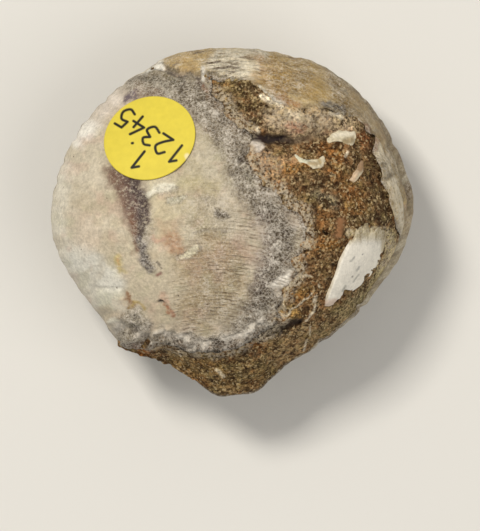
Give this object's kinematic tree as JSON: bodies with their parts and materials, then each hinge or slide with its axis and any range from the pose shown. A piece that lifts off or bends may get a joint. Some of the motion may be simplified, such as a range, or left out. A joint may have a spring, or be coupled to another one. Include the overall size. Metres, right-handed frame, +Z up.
{
  "type": "fossil bivalve",
  "caption": "Fossil bivalve with both valves closed on a sandstone filling, the upper one part broken away, and a round paper label.",
  "frame": {"origin": "on the flat resting face, under the middle of the outline seen from above", "axes": "+X along the width of the shell, +Y from the beak to the valves' open edge, +Z up"},
  "size_m": [0.0371, 0.0356, 0.0204],
  "materials": {
    "upper_shell": "worn, pitted, pale fossil shell",
    "lower_shell": "ridged, tan fossil shell",
    "sandstone": "gritty, iron-stained, brown",
    "chalky_shell": "chalky, off-white",
    "shell_chips": "cream, satin",
    "label_paper": "yellow paper, matte"
  },
  "bodies": {
    "root": {"upper_valve": "upper_shell", "lower_valve": "lower_shell", "sandstone_filling": "sandstone", "shell_flake": "chalky_shell", "shell_chip_long": "shell_chips", "shell_chip_curved": "shell_chips", "shell_chip_short": "shell_chips", "label": "label_paper"}
  },
  "joints": []
}
